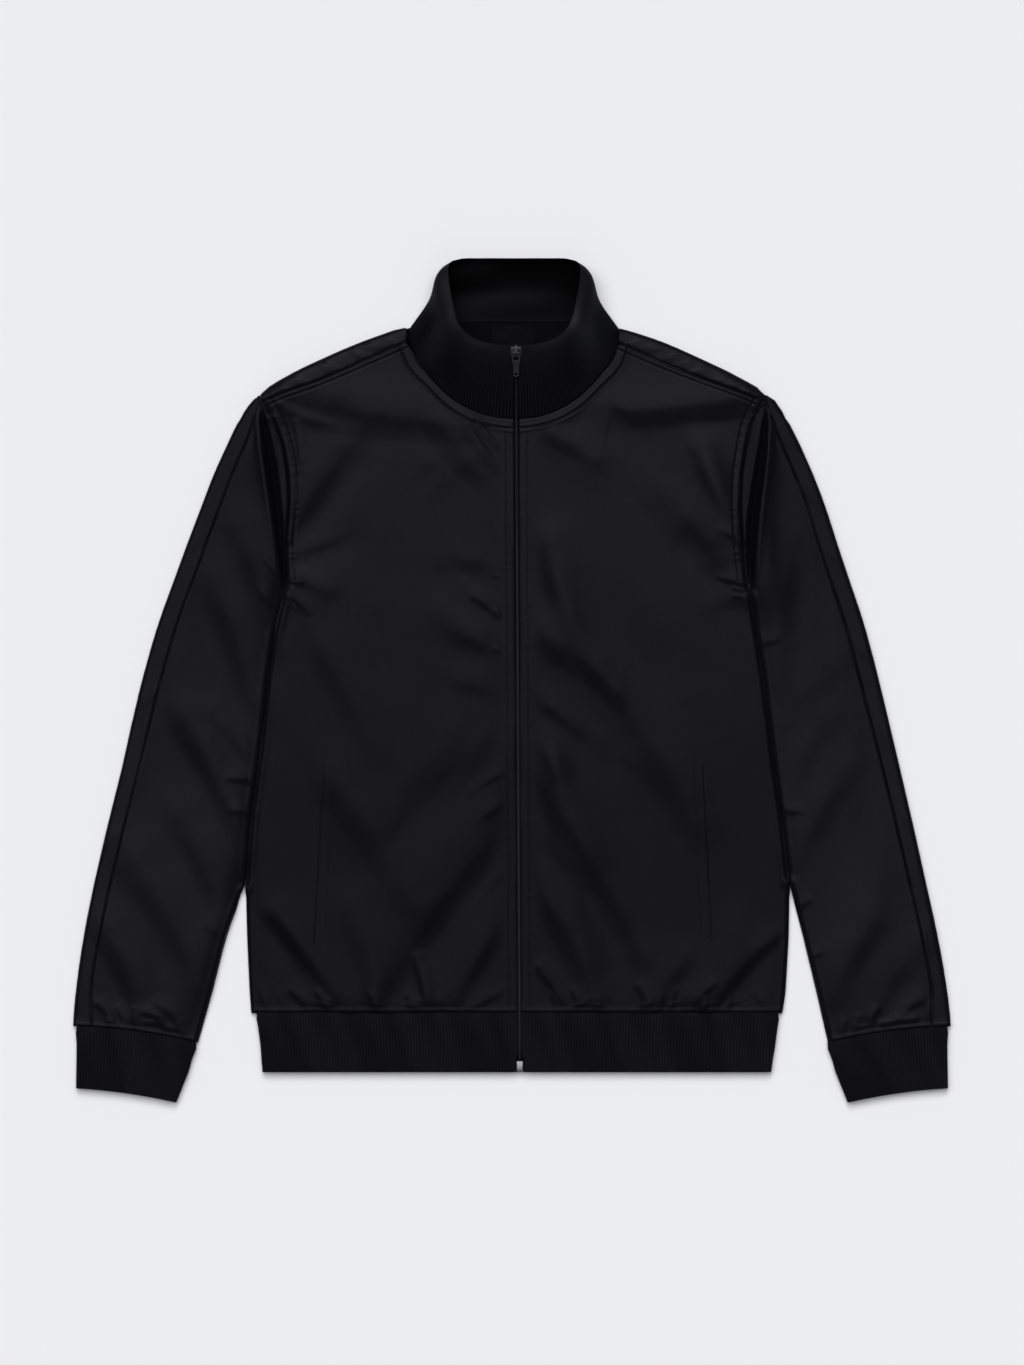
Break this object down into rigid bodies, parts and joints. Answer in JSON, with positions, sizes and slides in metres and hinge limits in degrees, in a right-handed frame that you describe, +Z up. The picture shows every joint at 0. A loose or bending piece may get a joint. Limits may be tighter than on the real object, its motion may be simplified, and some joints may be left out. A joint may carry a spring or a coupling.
{
  "type": "track jacket",
  "caption": "Zip-front track jacket laid flat on its back, with rib-knit stand collar, cuffs and hem band, slit side pockets and a zip pull tab that lifts.",
  "frame": {"origin": "middle of the jacket's outline, on the surface it lies on", "axes": "+X across the jacket to the wearer's left sleeve, +Y along it from hem to collar, +Z up from the surface to the front of the jacket"},
  "size_m": [0.816, 0.7846, 0.0384],
  "materials": {
    "satin_cloth": "smooth satin-faced knit, softly shiny",
    "rib_knit": "matt rib knit",
    "zip_tape": "woven tape with a nylon coil",
    "zip_metal": "satin nickel plate",
    "label_weave": "close woven, blank"
  },
  "bodies": {
    "jacket": {"back": "satin_cloth", "front_right": "satin_cloth", "front_left": "satin_cloth", "sleeve_front_right": "satin_cloth", "sleeve_front_left": "satin_cloth", "sleeve_back_right": "satin_cloth", "sleeve_back_left": "satin_cloth", "collar": "rib_knit", "hem_band": "rib_knit", "cuff_right": "rib_knit", "cuff_left": "rib_knit", "pocket_welt_right": "satin_cloth", "pocket_welt_left": "satin_cloth", "zip_tape_right": "zip_tape", "zip_tape_left": "zip_tape", "zip_slider": "zip_metal", "zip_retainer_box": "zip_metal", "neck_label": "label_weave"},
    "pull_tab": {"zip_pull_tab": "zip_metal"}
  },
  "joints": [
    {"name": "pull_tab_hinge", "type": "hinge", "parent": "jacket", "child": "pull_tab", "pos_m": [0.00373, 0.30336, 0.03531], "axis": [-1, 0, 0], "range_deg": [0, 165]}
  ]
}
